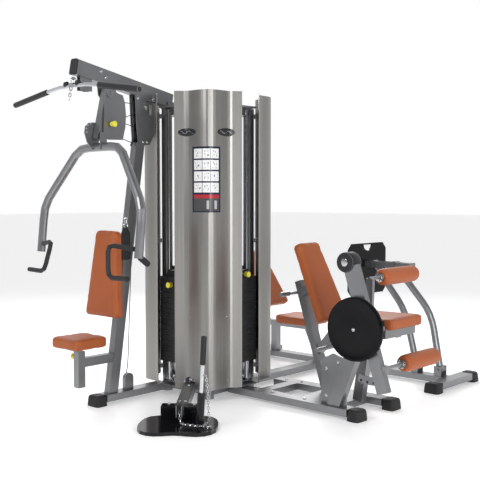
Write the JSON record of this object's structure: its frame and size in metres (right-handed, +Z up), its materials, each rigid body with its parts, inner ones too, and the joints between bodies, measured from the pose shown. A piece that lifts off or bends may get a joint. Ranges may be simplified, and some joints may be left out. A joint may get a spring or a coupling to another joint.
{
  "type": "multi station home gym",
  "caption": "Square tower of weight stacks behind curved steel shrouds, with pads and arms for chest press, lat pull, low row, leg lever and leg press around it.",
  "frame": {"origin": "middle of the floor box, on the floor", "axes": "+Z up; +X towards the leg lever, -Y towards the press station"},
  "size_m": [2.4836, 2.7654, 2.3114],
  "materials": {
    "silver_paint": "satin",
    "shroud_steel": "brushed upright",
    "chrome": "polished",
    "black_steel": "gloss",
    "black_grip": "fine grain",
    "pulley_plastic": "satin",
    "yellow_plastic": "gloss",
    "orange_cover": "soft grain",
    "foot_rubber": "matt",
    "strap_webbing": "woven"
  },
  "bodies": {
    "machine": {"tower_frame": "silver_paint", "right_shroud": "shroud_steel", "rear_shroud": "shroud_steel", "left_shroud": "shroud_steel", "front_shroud": "shroud_steel", "leg_guide_rods": "chrome", "leg_weights": "black_steel", "leg_press_guide_rods": "chrome", "leg_press_weights": "black_steel", "row_guide_rods": "chrome", "row_weights": "black_steel", "press_guide_rods": "chrome", "press_weights": "black_steel", "press_frame": "silver_paint", "press_foot": "foot_rubber", "press_pivot_pin": "chrome", "press_back_pad": "orange_cover", "ab_strap": "strap_webbing", "row_frame": "black_steel", "leg_frame": "silver_paint", "leg_foot_near": "foot_rubber", "leg_foot_far": "foot_rubber", "leg_seat_pad": "orange_cover", "leg_cam_cover": "black_steel", "leg_press_frame": "silver_paint", "leg_press_foot_near": "foot_rubber", "leg_press_foot_far": "foot_rubber", "leg_press_seat_pad": "orange_cover", "leg_press_back_pad": "orange_cover"},
    "press_column": {"press_column": "silver_paint"},
    "press_yoke": {"press_yoke": "silver_paint", "press_handle_left": "black_grip", "press_handle_right": "black_grip"},
    "press_start_knob": {"press_start_knob": "yellow_plastic"},
    "press_seat": {"press_seat_post": "chrome", "press_seat_pad": "orange_cover"},
    "press_seat_knob": {"press_seat_knob": "yellow_plastic"},
    "lat_bar": {"lat_bar": "chrome"},
    "press_lift": {"press_lift_weights": "black_steel"},
    "press_pin": {"press_selector_pin": "yellow_plastic"},
    "leg_lift": {"leg_lift_weights": "black_steel"},
    "leg_pin": {"leg_selector_pin": "yellow_plastic"},
    "leg_press_lift": {"leg_press_lift_weights": "black_steel"},
    "row_lift": {"row_lift_weights": "black_steel"},
    "row_bar": {"row_bar": "chrome"},
    "leg_lever": {"leg_lever": "silver_paint"},
    "shin_roller": {"leg_shin_roller": "orange_cover"},
    "thigh_holder": {"thigh_holder": "silver_paint"},
    "thigh_roller": {"thigh_roller": "orange_cover"},
    "leg_back": {"leg_back_carrier": "silver_paint", "leg_back_pad": "orange_cover"},
    "rear_arm": {"leg_press_arm_rear": "silver_paint"},
    "front_arm": {"leg_press_arm_front": "silver_paint"},
    "carriage": {"leg_press_carriage": "silver_paint", "leg_press_footplate": "black_steel"},
    "press_pulley_1": {"press_pulley_1": "pulley_plastic"},
    "press_pulley_2": {"press_pulley_2": "pulley_plastic"},
    "press_pulley_3": {"press_pulley_3": "pulley_plastic"},
    "lat_pulley": {"lat_pulley": "pulley_plastic"},
    "row_pulley": {"row_pulley": "pulley_plastic"}
  },
  "joints": [
    {"name": "press_swing", "type": "hinge", "parent": "machine", "child": "press_column", "pos_m": [-0.57319, -0.99067, 2.112], "axis": [-1, 0, 0], "range_deg": [0, 35]},
    {"name": "press_start", "type": "hinge", "parent": "press_column", "child": "press_yoke", "pos_m": [-0.57319, -1.06067, 1.822], "axis": [1, 0, 0], "range_deg": [-15, 15]},
    {"name": "press_start_pull", "type": "slide", "parent": "press_column", "child": "press_start_knob", "axis": [1, 0, 0], "range_m": [0, 0.012], "stiffness_N_per_m": 600},
    {"name": "press_seat_height", "type": "slide", "parent": "machine", "child": "press_seat", "axis": [0, 0, 1], "range_m": [0, 0.1]},
    {"name": "press_seat_pull", "type": "slide", "parent": "machine", "child": "press_seat_knob", "axis": [-1, 0, 0], "range_m": [0, 0.012], "stiffness_N_per_m": 600},
    {"name": "lat_pull", "type": "slide", "parent": "machine", "child": "lat_bar", "axis": [0, 0, -1], "range_m": [0, 0.8], "stiffness_N_per_m": 120},
    {"name": "press_stack_lift", "type": "slide", "parent": "machine", "child": "press_lift", "axis": [0, 0, 1], "range_m": [0, 0.6]},
    {"name": "press_pin_pull", "type": "slide", "parent": "press_lift", "child": "press_pin", "axis": [0, -1, 0], "range_m": [0, 0.09]},
    {"name": "leg_stack_lift", "type": "slide", "parent": "machine", "child": "leg_lift", "axis": [0, 0, 1], "range_m": [0, 0.6]},
    {"name": "leg_pin_pull", "type": "slide", "parent": "leg_lift", "child": "leg_pin", "axis": [1, 0, 0], "range_m": [0, 0.09]},
    {"name": "leg_press_stack_lift", "type": "slide", "parent": "machine", "child": "leg_press_lift", "axis": [0, 0, 1], "range_m": [0, 0.6]},
    {"name": "row_stack_lift", "type": "slide", "parent": "machine", "child": "row_lift", "axis": [0, 0, 1], "range_m": [0, 0.6]},
    {"name": "row_bar_lift", "type": "slide", "parent": "machine", "child": "row_bar", "axis": [0.0294, 0.039, 0.9988], "range_m": [0, 0.4]},
    {"name": "leg_swing", "type": "hinge", "parent": "machine", "child": "leg_lever", "pos_m": [1.07281, -0.22267, 0.602], "axis": [0, -1, 0], "range_deg": [0, 85]},
    {"name": "shin_roller_spin", "type": "hinge", "parent": "leg_lever", "child": "shin_roller", "pos_m": [1.18681, -0.22267, 0.372], "axis": [0, 1, 0], "continuous": true},
    {"name": "thigh_tilt", "type": "hinge", "parent": "machine", "child": "thigh_holder", "pos_m": [1.01181, -0.22267, 0.69], "axis": [0, 1, 0], "range_deg": [-8, 8]},
    {"name": "thigh_roller_spin", "type": "hinge", "parent": "thigh_holder", "child": "thigh_roller", "pos_m": [1.01881, -0.22267, 0.905], "axis": [0, 1, 0], "continuous": true},
    {"name": "leg_back_tilt", "type": "hinge", "parent": "machine", "child": "leg_back", "pos_m": [0.27681, 0.07733, 0.745], "axis": [0, 1, 0], "range_deg": [-6, 6]},
    {"name": "leg_press_rear", "type": "hinge", "parent": "machine", "child": "rear_arm", "pos_m": [0.61681, 1.06233, 0.118], "axis": [0, 1, 0], "range_deg": [0, 30]},
    {"name": "leg_press_front", "type": "hinge", "parent": "machine", "child": "front_arm", "pos_m": [0.81681, 1.06233, 0.118], "axis": [0, 1, 0], "range_deg": [0, 30]},
    {"name": "leg_press_level", "type": "hinge", "parent": "rear_arm", "child": "carriage", "pos_m": [0.21881, 1.06233, 0.884], "axis": [0, 1, 0], "range_deg": [-30, 0]},
    {"name": "press_pulley_1_spin", "type": "hinge", "parent": "machine", "child": "press_pulley_1", "pos_m": [-0.57319, -0.71267, 1.85], "axis": [1, 0, 0], "continuous": true},
    {"name": "press_pulley_2_spin", "type": "hinge", "parent": "machine", "child": "press_pulley_2", "pos_m": [-0.57319, -0.71267, 1.954], "axis": [1, 0, 0], "continuous": true},
    {"name": "press_pulley_3_spin", "type": "hinge", "parent": "machine", "child": "press_pulley_3", "pos_m": [-0.57319, -0.72667, 2.058], "axis": [1, 0, 0], "continuous": true},
    {"name": "lat_pulley_spin", "type": "hinge", "parent": "machine", "child": "lat_pulley", "pos_m": [-0.57319, -1.17267, 2.15], "axis": [1, 0, 0], "continuous": true},
    {"name": "row_pulley_spin", "type": "hinge", "parent": "machine", "child": "row_pulley", "pos_m": [0.19134, -1.04889, 0.092], "axis": [0.766, 0.6428, 0], "continuous": true}
  ],
  "couplings": [
    {"joint": "press_stack_lift", "follows": "press_swing", "m_per_rad": 0.9},
    {"joint": "leg_stack_lift", "follows": "leg_swing", "m_per_rad": 0.36},
    {"joint": "leg_press_stack_lift", "follows": "leg_press_rear", "m_per_rad": 1},
    {"joint": "leg_press_front", "follows": "leg_press_rear", "ratio": 1},
    {"joint": "leg_press_level", "follows": "leg_press_rear", "ratio": -1}
  ]
}
